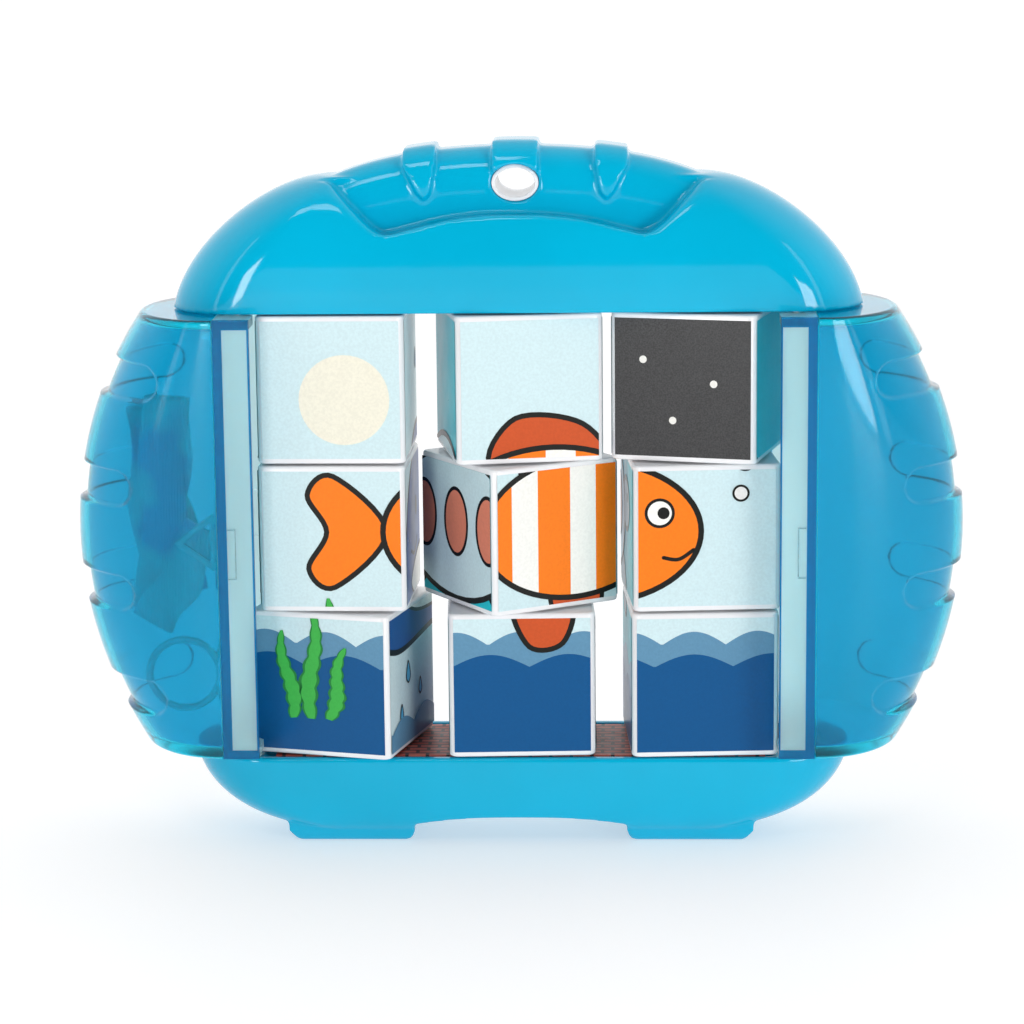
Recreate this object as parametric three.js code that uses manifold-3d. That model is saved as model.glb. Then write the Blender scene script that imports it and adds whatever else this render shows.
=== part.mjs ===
// A 3 x 3 rotating-cube picture puzzle in a blue travel case. Millimetres, +X right, +Y to the back, +Z up.
// The origin is on the surface it stands on, under the middle of the case.
import * as THREE from "three";
import { mergeVertices } from "three/addons/utils/BufferGeometryUtils.js";
import Module from "manifold-3d";

const wasm = await Module();
wasm.setup();

// ---- driving dimensions -------------------------------------------------------------------------

const GAP = 0.3; // running and fitting gap between two pieces
const CUBE = 39.7;
const CUBE_EDGE = 2.4; // radius of a cube's four upright edges
const CUBE_WALL = 2;
const COLUMN_PITCH = 48.6; // lets a cube turn past a neighbour that stands nearly square
const ROW_PITCH = CUBE + GAP;
const MIDDLE_Z = 85; // centre of the middle row

// How far each cube is turned at rest, anticlockwise from above, top row first, left column first.
const CUBE_TURNS = [
  [-0.8, 11, -14.5],
  [-1.7, 32.5, 4.8],
  [-14.5, 2.7, 3.6],
];

const AXLE_RADIUS = 3;
const BAY_HALF = 1.5 * CUBE + 2 * GAP;
const FLOOR_Z = MIDDLE_Z - BAY_HALF;
const CEILING_Z = MIDDLE_Z + BAY_HALF;

const CASE_HALF_DEPTH = 20.2; // the two shells, front to back
const SHELL_END = 92.1; // half the top shell's length at its rim
const BASE_END = 89.4; // half the bottom shell's length at its rim
const CAVITY_END = 82;
const CAVITY_HALF_DEPTH = 17.2;
const PLATE = 2.2;
const BASE_FLOOR_Z = 10.8; // inner floor of the bottom shell

const HOLE_Z = CEILING_Z + 33.3; // lanyard hole
const HOLE_HALF = [6.3, 4.9];
const RIDGE_HALF_DEPTH = 11.2;
const RIB_RISE = 1.7;

const WING_HALF_DEPTH = 29.6;
const WING_LOW = FLOOR_Z + 2.55;
const WING_HIGH = CEILING_Z - GAP;
const WING_END = 119.7; // half the whole object's length
const WING_ARC = 104.7; // radius of the outer edge, seen from the front
const WING_WALL = 2.4;
const STRIP_X = 69; // inner edge of the pale front strips
const WEB_X = 76;
const BIN_X = WEB_X + WING_WALL + GAP;
const SWEEP = 27.5; // radius kept clear around an axle for a turning cube
const NOTCH_DEPTH = 1.3;
const NOTCH_HEIGHT = 10;
const NOTCH_PITCH = 28.4;
const NOTCH_REACH = 11.5;

const SCREW_SHANK = 1.1;
const SCREW_HEAD = 2.2;
const SCREW_HOLE = SCREW_SHANK + GAP;
const FRAME_SCREW = [73.3, 16.6];
const CEILING_SCREW = [COLUMN_PITCH / 2, 12];
const FLOOR_SCREW = [38, 8];

// ---- materials ----------------------------------------------------------------------------------

const skyBlue = () => new THREE.MeshStandardMaterial({ color: 0x00b5e2, roughness: 0.18, metalness: 0 });

const clear = (color, roughness, opacity) =>
  new THREE.MeshStandardMaterial({ color, roughness, metalness: 0, transparent: true, opacity });

const deepBlue = () => clear(0x0098d6, 0.15, 0.7);

const paleClear = () => clear(0xb5dfe5, 0.3, 0.6);

const white = () => new THREE.MeshStandardMaterial({ color: 0xf2f2f4, roughness: 0.3, metalness: 0 });

const steel = () => new THREE.MeshStandardMaterial({ color: 0xb9bcc0, roughness: 0.35, metalness: 1 });

const card = () => new THREE.MeshStandardMaterial({ color: 0xa8605a, roughness: 0.6, metalness: 0 });

const webbing = () => new THREE.MeshStandardMaterial({ color: 0xd5dcef, roughness: 0.9, metalness: 0 });

// ---- solids -------------------------------------------------------------------------------------

// A closed geometry as a solid that can be joined and cut.
function solid(geometry) {
  const bare = geometry.clone();
  bare.deleteAttribute("normal");
  bare.deleteAttribute("uv");
  const merged = mergeVertices(bare, 1e-4);
  const triVerts = new Uint32Array(merged.index.array);
  const vertProperties = merged.attributes.position.array;
  return new wasm.Manifold(new wasm.Mesh({ numProp: 3, vertProperties, triVerts }));
}

function geometryOf(body) {
  const mesh = body.getMesh();
  const geometry = new THREE.BufferGeometry();
  geometry.setAttribute("position", new THREE.BufferAttribute(new Float32Array(mesh.vertProperties), 3));
  geometry.setIndex([...mesh.triVerts]);
  return geometry;
}

const join = (...bodies) => bodies.reduce((whole, body) => whole.add(body));

const cut = (body, ...tools) => tools.reduce((rest, tool) => rest.subtract(tool), body);

// A solid through rings of points, one ring after another, with a flat cap at each end.
function loft(rings) {
  const count = rings[0].length;
  const points = rings.flat();
  const faces = [];
  for (let ring = 0; ring + 1 < rings.length; ring++) {
    for (let i = 0; i < count; i++) {
      const next = (i + 1) % count;
      const [a, b] = [ring * count + i, ring * count + next];
      faces.push(a, b, b + count, a, b + count, a + count);
    }
  }
  const last = (rings.length - 1) * count;
  const [foot, head] = [points.length, points.length + 1];
  const middle = (ring) => ring.reduce((sum, p) => sum.add(p), new THREE.Vector3()).divideScalar(count);
  points.push(middle(rings[0]), middle(rings.at(-1)));
  for (let i = 0; i < count; i++) {
    const next = (i + 1) % count;
    faces.push(foot, next, i, head, last + i, last + next);
  }
  const geometry = new THREE.BufferGeometry().setFromPoints(points);
  geometry.setIndex(faces);
  return solid(geometry);
}

// An outline in X and Z, carried along Y from low to high.
function prismY(outline, low, high) {
  const shape = new THREE.Shape(outline.map(([x, z]) => new THREE.Vector2(x, z)));
  const geometry = new THREE.ExtrudeGeometry(shape, { depth: high - low, bevelEnabled: false });
  return solid(geometry.rotateX(Math.PI / 2).translate(0, high, 0));
}

// An outline in X and Y, carried up from low to high.
function prismZ(outline, low, high) {
  const shape = new THREE.Shape(outline.map(([x, y]) => new THREE.Vector2(x, y)));
  const geometry = new THREE.ExtrudeGeometry(shape, { depth: high - low, bevelEnabled: false });
  return solid(geometry.translate(0, 0, low));
}

function box([x0, x1], [y0, y1], [z0, z1]) {
  const geometry = new THREE.BoxGeometry(x1 - x0, y1 - y0, z1 - z0);
  return solid(geometry.translate((x0 + x1) / 2, (y0 + y1) / 2, (z0 + z1) / 2));
}

function postZ(x, y, radius, low, high, sides = 16) {
  const geometry = new THREE.CylinderGeometry(radius, radius, high - low, sides);
  return solid(geometry.rotateX(Math.PI / 2).translate(x, y, (low + high) / 2));
}

// Points round an ellipse, in the plane of its two half widths.
function oval([a, b], count, [cx, cy] = [0, 0]) {
  return Array.from({ length: count }, (_, i) => {
    const turn = (2 * Math.PI * i) / count;
    return [cx + a * Math.cos(turn), cy + b * Math.sin(turn)];
  });
}

// A stadium: two straight sides along X and two round ends.
function stadium(halfLength, halfDepth, perEnd = 8) {
  const straight = halfLength - halfDepth;
  const points = [];
  for (const side of [1, -1]) {
    for (let i = 0; i <= perEnd; i++) {
      const turn = Math.PI * (i / perEnd - 0.5) + (side > 0 ? 0 : Math.PI);
      points.push([side * straight + halfDepth * Math.cos(turn), halfDepth * Math.sin(turn)]);
    }
  }
  return points;
}

const atHeight = (outline, z) => outline.map(([x, y]) => new THREE.Vector3(x, y, z));

function bezier(from, near, far, to, t) {
  const s = 1 - t;
  return s ** 3 * from + 3 * s * s * t * near + 3 * s * t * t * far + t ** 3 * to;
}

// The rings of a shell: its half length, half depth and height each follow a curve of four control values.
function shellRings(lengths, depths, heights, steps) {
  return Array.from({ length: steps + 1 }, (_, i) => {
    const t = i / steps;
    return atHeight(stadium(bezier(...lengths, t), bezier(...depths, t)), bezier(...heights, t));
  });
}

// ---- top shell ----------------------------------------------------------------------------------

// The ridge's crest above the shell's rim, at a fraction t of the way from the middle to an end.
const CREST_X = [0, 24, 40, 53.6];
const CREST_RISE = [42.6, 42.4, 39.6, 32.6];

// One section across the ridge, grown by a rise on its top, front and back.
function ridgeSection(x, crest, rise) {
  const half = RIDGE_HALF_DEPTH + rise;
  const top = CEILING_Z + crest + rise;
  const side = [
    [half + 0.8, CEILING_Z + 18],
    [half, top - 12],
    [half - 0.9, top - 6],
    [half - 3, top - 2.2],
    [half - 6.4, top],
  ];
  const mirrored = side.map(([y, z]) => [-y, z]).reverse();
  return [...side, ...mirrored].map(([y, z]) => new THREE.Vector3(x, y, z));
}

function ridge(rise, from, to, steps) {
  const crestAt = (x) => {
    let [low, high] = [0, 1];
    for (let i = 0; i < 30; i++) {
      const t = (low + high) / 2;
      if (bezier(...CREST_X, t) < Math.abs(x)) low = t;
      else high = t;
    }
    return bezier(...CREST_RISE, low);
  };
  const rings = Array.from({ length: steps + 1 }, (_, i) => {
    const x = from + ((to - from) * i) / steps;
    return ridgeSection(x, crestAt(x), rise);
  });
  return loft(rings);
}

// Outlines seen from the front: distance from the middle, and height above the shell's rim.
const MIDDLE_RIB = [[-6, 36.4], [6, 36.4], [6, 60], [-6, 60]];
const OUTER_RIB = [
  [20.6, 60],
  [21, 38],
  [22.4, 30.6],
  [24, 29],
  [25.6, 30.6],
  [29.6, 38],
  [29.6, 60],
];
const HALF_SCOOP = [
  [0, 25.4],
  [16.8, 24.4],
  [28, 21.8],
  [34, 20.5],
  [38, 22.6],
  [43, 27.6],
  [48.5, 33.2],
  [54, 37],
  [54, 60],
];

const overRim = (outline, side = 1) => outline.map(([x, rise]) => [side * x, CEILING_Z + rise]);

// The three ribs that wrap over the ridge. The outer two taper to a tip on its front and back.
function ribs() {
  const middle = ridge(RIB_RISE, -6, 6, 3).intersect(prismY(overRim(MIDDLE_RIB), -20, 20));
  const right = ridge(RIB_RISE, 20.6, 29.6, 3);
  const left = ridge(RIB_RISE, -29.6, -20.6, 3);
  return join(
    middle,
    right.intersect(prismY(overRim(OUTER_RIB).reverse(), -20, 20)),
    left.intersect(prismY(overRim(OUTER_RIB, -1), -20, 20)),
  );
}

// What the fingers reach into beside the ridge: its floor is the lip, and its ends curl up the shoulders.
function fingerScoop(side) {
  const outline = [...overRim(HALF_SCOOP.slice(1), -1).reverse(), ...overRim(HALF_SCOOP)];
  const [low, high] = side > 0 ? [RIDGE_HALF_DEPTH - 2, 40] : [-40, 2 - RIDGE_HALF_DEPTH];
  return prismY(outline, low, high);
}

function topShell() {
  const lengths = [SHELL_END, 88.5, 64.5, 51];
  const depths = [CASE_HALF_DEPTH, 20.9, 19, 8];
  const heights = [0, 18.6, 35, 35].map((rise) => CEILING_Z + rise);
  const dome = loft(shellRings(lengths, depths, heights, 8));
  const scooped = cut(dome, fingerScoop(-1), fingerScoop(1));
  const outside = join(scooped, ridge(0, -53.6, 53.6, 14), ribs());
  const cavity = loft([
    atHeight(stadium(CAVITY_END, CAVITY_HALF_DEPTH), CEILING_Z - 1),
    atHeight(stadium(CAVITY_END, CAVITY_HALF_DEPTH), CEILING_Z + 8),
    atHeight(stadium(CAVITY_END - 8, CAVITY_HALF_DEPTH - 2.4), CEILING_Z + 17),
  ]);
  const bosses = posts(CEILING_SCREW, 3.4, CEILING_Z + PLATE + GAP, CEILING_Z + 18);
  const pillars = posts(FRAME_SCREW, 3, CEILING_Z, CEILING_Z + 12).map((post) => post.intersect(dome));
  const holes = [
    ...posts(CEILING_SCREW, SCREW_HOLE, CEILING_Z - 1, CEILING_Z + 14, 10),
    ...posts(FRAME_SCREW, SCREW_HOLE, CEILING_Z - 1, CEILING_Z + 9, 10),
  ];
  const lanyardHole = prismY(oval(HOLE_HALF, 20, [0, HOLE_Z]), -30, 30);
  return cut(join(cut(outside, cavity), ...bosses, ...pillars), lanyardHole, ...holes);
}

// The four corners of a rectangle about the origin.
function corners(x, y) {
  return [[-x, -y], [x, -y], [-x, y], [x, y]];
}

// The same post at all four corners of a rectangle.
function posts(at, radius, low, high, sides = 16) {
  return corners(...at).map(([x, y]) => postZ(x, y, radius, low, high, sides));
}

function lanyardEyelet() {
  const outer = HOLE_HALF.map((half) => half - GAP);
  const inner = HOLE_HALF.map((half) => half - 1.1);
  const bar = prismY(oval(outer, 20, [0, HOLE_Z]), -20, 20);
  const bore = prismY(oval(inner, 20, [0, HOLE_Z]), -21, 21);
  return cut(bar, bore).intersect(ridge(-0.2, -9, 9, 2));
}

function ceilingPlate() {
  const outline = stadium(CAVITY_END - GAP, CAVITY_HALF_DEPTH - GAP);
  const plate = prismZ(outline, CEILING_Z, CEILING_Z + PLATE);
  const clearances = posts(FRAME_SCREW, 3 + GAP, CEILING_Z - 1, CEILING_Z + 4);
  const screws = [
    ...posts(CEILING_SCREW, SCREW_HOLE, CEILING_Z - 1, CEILING_Z + 4, 10),
    ...posts(CEILING_SCREW, SCREW_HEAD + GAP, CEILING_Z - 1, CEILING_Z + 1.4, 12),
  ];
  return cut(plate, ...clearances, ...screws, ...axleHoles(CEILING_Z - 1, CEILING_Z + 4));
}

function axleHoles(low, high) {
  return [-1, 0, 1].map((column) => postZ(column * COLUMN_PITCH, 0, AXLE_RADIUS + GAP, low, high));
}

// ---- bottom shell -------------------------------------------------------------------------------

// A foot: a pad with chamfered edges under one side of the base.
function foot(side) {
  const layer = (inner, outer, depth, z) => {
    const outline = [[inner, -depth], [outer, -depth], [outer, depth], [inner, depth]];
    return atHeight(outline.map(([x, y]) => [side * x, y]), z);
  };
  const layers = [
    layer(31, 60, 12.6, 0),
    layer(29.4, 61.6, 14, 1.2),
    layer(28.8, 63.2, 15, 3),
    layer(28.8, 63.2, 15, 9),
  ];
  return loft(side > 0 ? layers : layers.map((ring) => ring.reverse()));
}

// Half of the low arch between the feet: distance from the middle, and height.
const HALF_ARCH = [
  [0, 7.6],
  [11, 7.4],
  [21, 6.6],
  [28.8, 5.3],
  [28.8, -5],
];

function bottomShell() {
  const lengths = [BASE_END, 88, 80, 62];
  const depths = [CASE_HALF_DEPTH, 20.2, 19.4, 15];
  const heights = [0, 9, 18.6, 21.2].map((drop) => FLOOR_Z - drop);
  const bowl = loft(shellRings(lengths, depths, heights, 7).reverse());
  const arch = [...HALF_ARCH.slice(1).map(([x, z]) => [-x, z]), ...HALF_ARCH.slice().reverse()];
  const outside = join(cut(bowl, prismY(arch, -30, 30)), foot(-1), foot(1));
  const cavity = loft([
    atHeight(stadium(CAVITY_END - 12, CAVITY_HALF_DEPTH - 3), BASE_FLOOR_Z),
    atHeight(stadium(CAVITY_END, CAVITY_HALF_DEPTH), FLOOR_Z - 4.8),
    atHeight(stadium(CAVITY_END, CAVITY_HALF_DEPTH), FLOOR_Z + 1),
  ]);
  const pillars = posts(FRAME_SCREW, 3, BASE_FLOOR_Z - 2, FLOOR_Z).map((post) => post.intersect(bowl));
  const holes = [
    ...posts(FRAME_SCREW, SCREW_HOLE, FLOOR_Z - 9, FLOOR_Z + 2, 10),
    ...posts(FLOOR_SCREW, SCREW_HOLE, -1, BASE_FLOOR_Z + 2, 10),
    ...posts(FLOOR_SCREW, SCREW_HEAD + GAP, -1, 3.4, 12),
  ];
  return cut(join(cut(outside, cavity), ...pillars), ...holes);
}

const CARD_Z = FLOOR_Z - 0.5;
const CARD_THICK = 0.4;
const FLOOR_PLATE_TOP = CARD_Z - GAP;

function floorPlate() {
  const outline = stadium(CAVITY_END - GAP, CAVITY_HALF_DEPTH - GAP);
  const plate = prismZ(outline, FLOOR_PLATE_TOP - PLATE, FLOOR_PLATE_TOP);
  const clearances = posts(FRAME_SCREW, 3 + GAP, FLOOR_Z - 6, FLOOR_Z + 1);
  const legs = posts(FLOOR_SCREW, 3.4, BASE_FLOOR_Z + 0.4, FLOOR_PLATE_TOP - PLATE / 2);
  const holes = posts(FLOOR_SCREW, SCREW_HOLE, BASE_FLOOR_Z - 1, FLOOR_Z - 5, 10);
  return cut(join(plate, ...legs), ...clearances, ...holes, ...axleHoles(FLOOR_Z - 6, FLOOR_Z + 1));
}

function floorCard() {
  const sheet = box([-66, 66], [-16, 16], [CARD_Z, CARD_Z + CARD_THICK]);
  return cut(sheet, ...axleHoles(CARD_Z - 1, CARD_Z + 2));
}

// ---- cubes and axles ----------------------------------------------------------------------------

function roundedSquare(side, radius, perCorner) {
  const points = [];
  const inset = side / 2 - radius;
  for (let corner = 0; corner < 4; corner++) {
    const middle = Math.PI * (corner / 2 + 0.25);
    const [cx, cy] = [Math.sign(Math.cos(middle)) * inset, Math.sign(Math.sin(middle)) * inset];
    for (let i = 0; i <= perCorner; i++) {
      const turn = Math.PI * (corner / 2 + i / perCorner / 2);
      points.push([cx + radius * Math.cos(turn), cy + radius * Math.sin(turn)]);
    }
  }
  return points;
}

// A hollow cube about its own centre, open at its top and bottom only where the axle runs through.
function cubeBody() {
  const half = CUBE / 2;
  const soften = 0.5;
  const full = roundedSquare(CUBE, CUBE_EDGE, 4);
  const eased = roundedSquare(CUBE - 2 * soften, CUBE_EDGE - soften, 4);
  const block = loft([
    atHeight(eased, -half),
    atHeight(full, soften - half),
    atHeight(full, half - soften),
    atHeight(eased, half),
  ]);
  const room = half - CUBE_WALL;
  const bore = postZ(0, 0, AXLE_RADIUS + GAP, -half - 1, half + 1);
  return cut(block, box([-room, room], [-room, room], [-room, room]), bore);
}

function axle(column) {
  return postZ(column * COLUMN_PITCH, 0, AXLE_RADIUS, FLOOR_PLATE_TOP - PLATE, CEILING_Z + PLATE);
}

// ---- side frames and bins -----------------------------------------------------------------------

// The length of a wing from the middle of the object to its outer edge, at a height.
function wingEdge(z) {
  return WING_END - WING_ARC + Math.sqrt(WING_ARC ** 2 - (z - MIDDLE_Z) ** 2);
}

// One level of a bin: a D whose flat side is its mouth, drawn in from the outside by an inset.
function binOutline(z, inset, mouth) {
  const [reach, half] = [wingEdge(z) - BIN_X - inset, WING_HALF_DEPTH - inset];
  const steps = 14;
  const arc = Array.from({ length: steps + 1 }, (_, i) => {
    const turn = Math.PI * (i / steps - 0.5);
    return [BIN_X + reach * Math.cos(turn), half * Math.sin(turn)];
  });
  return [[mouth, -half], ...arc.slice(1, -1), [mouth, half]];
}

function binLoft(inset, low, high, mouth, steps) {
  const rings = Array.from({ length: steps + 1 }, (_, i) => {
    const z = low + ((high - low) * i) / steps;
    return atHeight(binOutline(z, inset, mouth), z);
  });
  return loft(rings);
}

// A U-shaped slot, seen from the front, that marks where a grip notch is sunk into the bin.
function notchSlot(z) {
  const inner = wingEdge(z) - NOTCH_REACH;
  const half = NOTCH_HEIGHT / 2;
  const round = Array.from({ length: 7 }, (_, i) => {
    const turn = Math.PI * (0.5 + i / 6);
    return [inner + half * Math.cos(turn), z + half * Math.sin(turn)];
  });
  return prismY([[WING_END + 5, z + half], ...round, [WING_END + 5, z - half]], -40, 40);
}

function sideBin() {
  const body = binLoft(0, WING_LOW, WING_HIGH, BIN_X, 7);
  const room = binLoft(WING_WALL, WING_LOW + WING_WALL, WING_HIGH - WING_WALL, BIN_X - 5, 6);
  const sunk = binLoft(NOTCH_DEPTH, WING_LOW - 5, WING_HIGH + 5, BIN_X - 5, 7);
  const slots = [-1.5, -0.5, 0.5, 1.5].map((step) => notchSlot(MIDDLE_Z + step * NOTCH_PITCH));
  return cut(body, room, ...slots.map((slot) => cut(slot, sunk)));
}

// The tray between the cubes and a bin: a web, a front and a back strip, and two end plates cut clear of the
// turning cubes. A slit frees the small latch tab in each strip.
function sideFrame() {
  const depth = WING_HALF_DEPTH;
  const outside = box([STRIP_X, WEB_X + WING_WALL], [-depth, depth], [WING_LOW, WING_HIGH]);
  const inner = depth - 2;
  const room = box([STRIP_X - 5, WEB_X], [-inner, inner], [WING_LOW + WING_WALL, WING_HIGH - WING_WALL]);
  const sweep = postZ(COLUMN_PITCH, 0, SWEEP, WING_LOW - 5, WING_HIGH + 5, 32);
  const pads = [-1, 1].map((side) =>
    postZ(FRAME_SCREW[0], side * FRAME_SCREW[1], 3.6, FLOOR_Z + GAP, WING_LOW + 1),
  );
  const holes = [-1, 1].map((side) =>
    postZ(FRAME_SCREW[0], side * FRAME_SCREW[1], SCREW_HOLE, FLOOR_Z - 2, CEILING_Z + 2, 10),
  );
  return cut(join(cut(outside, room), ...pads), sweep, ...holes, ...latchSlits());
}

// The U-shaped slit round each latch tab, at mid-height on the strip's outer side.
function latchSlits() {
  const [near, far] = [WEB_X - 2.4, WEB_X - 0.2];
  const [low, high] = [MIDDLE_Z - 8.8, MIDDLE_Z + 4.8];
  const slit = 0.35;
  const outline = [
    [far, low],
    [far, low + slit],
    [near + slit, low + slit],
    [near + slit, high - slit],
    [far, high - slit],
    [far, high],
    [near, high],
    [near, low],
  ];
  const depth = WING_HALF_DEPTH;
  return [prismY(outline, -depth - 1, -depth + 2.5), prismY(outline, depth - 2.5, depth + 1)];
}

// ---- what the left bin holds --------------------------------------------------------------------

// Outline of the folded wrist strap seen from the front: distance to the left, and height over the middle.
const STRAP_OUTLINE = [
  [84, 2],
  [85, -10],
  [86, -24],
  [91, -33],
  [99, -34],
  [105, -24],
  [108, -8],
  [108, 14],
  [105, 34],
  [99, 44],
  [92, 42],
  [87, 24],
];
const STRAP_FRONT = -6.5;
const STRAP_BACK = 9;
const TRIANGLE = [[-81.6, 5.7], [-93, -3.2], [-81.6, -11.3]];
const RING = { x: -90.5, rise: -38.4, radius: 9.4, wire: 1 };

// The strap as one bundle, as thick as the folded webbing.
function wristStrap() {
  return prismY(STRAP_OUTLINE.map(([x, rise]) => [-x, MIDDLE_Z + rise]), STRAP_FRONT, STRAP_BACK);
}

// The triangular ring in front of the strap.
function strapTriangle() {
  const corners = TRIANGLE.map(([x, rise]) => [x, MIDDLE_Z + rise]);
  const middle = [0, 1].map((axis) => corners.reduce((sum, p) => sum + p[axis], 0) / 3);
  const inner = corners.map((p) => p.map((v, axis) => middle[axis] + 0.64 * (v - middle[axis])));
  return cut(prismY(corners, -9.6, -7.6), prismY(inner, -20, 0));
}

function strapRing() {
  const torus = new THREE.TorusGeometry(RING.radius, RING.wire, 5, 18);
  return solid(torus.rotateX(Math.PI / 2).translate(RING.x, -12, MIDDLE_Z + RING.rise));
}

// ---- screws -------------------------------------------------------------------------------------

// A screw with its head's underside at z, its shank running up (way 1) or down (way -1).
function screw([x, y], z, length, way) {
  const profile = [
    [0, -1.2],
    [SCREW_HEAD - 0.5, -1.2],
    [SCREW_HEAD, -0.6],
    [SCREW_HEAD, 0],
    [SCREW_SHANK, 0],
    [SCREW_SHANK, length - 1],
    [0, length],
  ];
  const points = profile.map(([r, along]) => new THREE.Vector2(r, along));
  const geometry = new THREE.LatheGeometry(points, 10).rotateX(way > 0 ? Math.PI / 2 : -Math.PI / 2);
  return solid(geometry.translate(x, y, z));
}

// ---- assembly -----------------------------------------------------------------------------------

const object = new THREE.Group();

function place(name, body, material, parent = object) {
  const mesh = new THREE.Mesh(geometryOf(body), material);
  mesh.name = name;
  parent.add(mesh);
  return mesh;
}

// The same body on the other side of the object.
function mirrored(body) {
  const geometry = geometryOf(body).scale(-1, 1, 1);
  const index = geometry.index.array;
  for (let i = 0; i < index.length; i += 3) {
    [index[i + 1], index[i + 2]] = [index[i + 2], index[i + 1]];
  }
  return solid(geometry);
}

place("top_shell", topShell(), skyBlue());
place("lanyard_eyelet", lanyardEyelet(), white());
place("ceiling_plate", ceilingPlate(), skyBlue());
place("bottom_shell", bottomShell(), skyBlue());
place("floor_plate", floorPlate(), skyBlue());
place("floor_card", floorCard(), card());

place("side_frame_right", sideFrame(), paleClear());
place("side_frame_left", mirrored(sideFrame()), paleClear());
place("side_bin_right", sideBin(), deepBlue());
place("side_bin_left", mirrored(sideBin()), deepBlue());

["left", "middle", "right"].forEach((name, i) => place(`axle_${name}`, axle(i - 1), steel()));

CUBE_TURNS.forEach((row, r) => {
  row.forEach((degrees, c) => {
    const cube = place(`cube_r${r + 1}c${c + 1}`, cubeBody(), white());
    cube.position.set((c - 1) * COLUMN_PITCH, 0, MIDDLE_Z + (1 - r) * ROW_PITCH);
    cube.rotation.z = THREE.MathUtils.degToRad(degrees);
  });
});

place("wrist_strap", wristStrap(), webbing());
place("strap_triangle", strapTriangle(), white());
place("strap_ring", strapRing(), white());

corners(...CEILING_SCREW).forEach((at, i) => {
  place(`ceiling_screw_${i + 1}`, screw(at, CEILING_Z + 1.4 - GAP / 2, 10, 1), steel());
});
corners(...FLOOR_SCREW).forEach((at, i) => {
  place(`floor_screw_${i + 1}`, screw(at, 3.1, 14, 1), steel());
});
corners(...FRAME_SCREW).forEach((at, i) => {
  place(`frame_screw_${i + 1}`, screw(at, WING_HIGH - WING_WALL - GAP, 10, 1), steel());
  place(`frame_screw_${i + 5}`, screw(at, WING_LOW + WING_WALL + GAP, 11, -1), steel());
});

export default object;
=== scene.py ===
"""A rotating-cube picture puzzle in a glossy blue case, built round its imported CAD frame."""

import math

import bmesh
import bpy
import numpy as np
from mathutils import Matrix, Vector
from mathutils.geometry import tessellate_polygon


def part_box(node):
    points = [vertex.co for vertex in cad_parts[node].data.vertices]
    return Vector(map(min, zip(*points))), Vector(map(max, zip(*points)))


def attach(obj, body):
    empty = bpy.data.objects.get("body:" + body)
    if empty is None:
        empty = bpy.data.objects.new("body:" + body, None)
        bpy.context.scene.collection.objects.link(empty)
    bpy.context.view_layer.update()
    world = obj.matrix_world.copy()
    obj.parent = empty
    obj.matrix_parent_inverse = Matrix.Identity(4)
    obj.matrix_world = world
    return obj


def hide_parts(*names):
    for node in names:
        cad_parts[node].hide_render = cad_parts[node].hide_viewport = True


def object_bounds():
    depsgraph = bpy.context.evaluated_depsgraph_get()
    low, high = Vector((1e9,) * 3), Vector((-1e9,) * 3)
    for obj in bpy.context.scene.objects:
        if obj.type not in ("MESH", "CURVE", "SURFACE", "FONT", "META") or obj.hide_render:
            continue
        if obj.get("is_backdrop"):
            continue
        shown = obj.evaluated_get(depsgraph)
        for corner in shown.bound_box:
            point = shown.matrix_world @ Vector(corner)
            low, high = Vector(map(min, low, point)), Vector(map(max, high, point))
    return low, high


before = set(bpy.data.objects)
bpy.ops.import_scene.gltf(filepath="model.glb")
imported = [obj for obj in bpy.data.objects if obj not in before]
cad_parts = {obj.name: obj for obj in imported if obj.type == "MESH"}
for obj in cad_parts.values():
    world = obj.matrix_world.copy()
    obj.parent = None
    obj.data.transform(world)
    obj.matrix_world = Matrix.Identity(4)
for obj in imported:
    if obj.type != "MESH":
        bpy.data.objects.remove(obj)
CAD_BOX = [list(corner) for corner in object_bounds()]

MM = 0.001


def edges(node):
    """A CAD node's lowest and highest corner, in millimetres."""
    low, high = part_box(node)
    return np.array(low) / MM, np.array(high) / MM


# ---- sizes in millimetres, read from the frame where it has them

CEILING_Z = edges("ceiling_plate")[0][2]
FLOOR_Z = edges("bottom_shell")[1][2]
SHELL_END = edges("top_shell")[1][0]
BASE_END = edges("bottom_shell")[1][0]
CASE_HALF_DEPTH = 20.2  # of both shells, where they meet the bay
CAVITY_END = edges("ceiling_plate")[1][0] + 0.3
CAVITY_HALF_DEPTH = edges("ceiling_plate")[1][1] + 0.3
BASE_FLOOR_Z = 10.8  # the bottom shell's inner floor
RIDGE_HALF_DEPTH = 11.2
RIB_RISE = 1.7
HOLE_Z = sum(corner[2] for corner in edges("lanyard_eyelet")) / 2
HOLE_HALF = (6.3, 4.9)  # the lanyard hole's half width and half height

BIN_LOW, BIN_HIGH = edges("side_bin_right")
BIN_X, WING_END = BIN_LOW[0], BIN_HIGH[0]
WING_LOW, WING_HIGH = BIN_LOW[2], BIN_HIGH[2]
WING_HALF_DEPTH = BIN_HIGH[1]
WING_ARC = 104.7  # radius of a bin's outer wall, seen from the front
MIDDLE_Z = (CEILING_Z + FLOOR_Z) / 2
WING_WALL = 2.4
NOTCH_DEPTH = 1.8
NOTCH_HEIGHT = 10
NOTCH_PITCH = 28.4
NOTCH_REACH = 11.5  # how far a grip notch runs round from the bin's outer end
NOTCH_SOFT = 0.5  # width of a notch's rounded edge
STRIP_X = edges("side_frame_right")[0][0]
WEB_X = BIN_X - 0.3 - WING_WALL
PAINTED_RIM_WIDTH = 0.4  # width of the painted dark line along a strip's inner edge, a painted shade
PAINTED_EDGE_DEPTH = 2.2  # how far back a side frame's walls are painted deep blue, a painted shade for walls seen edge on

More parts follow.
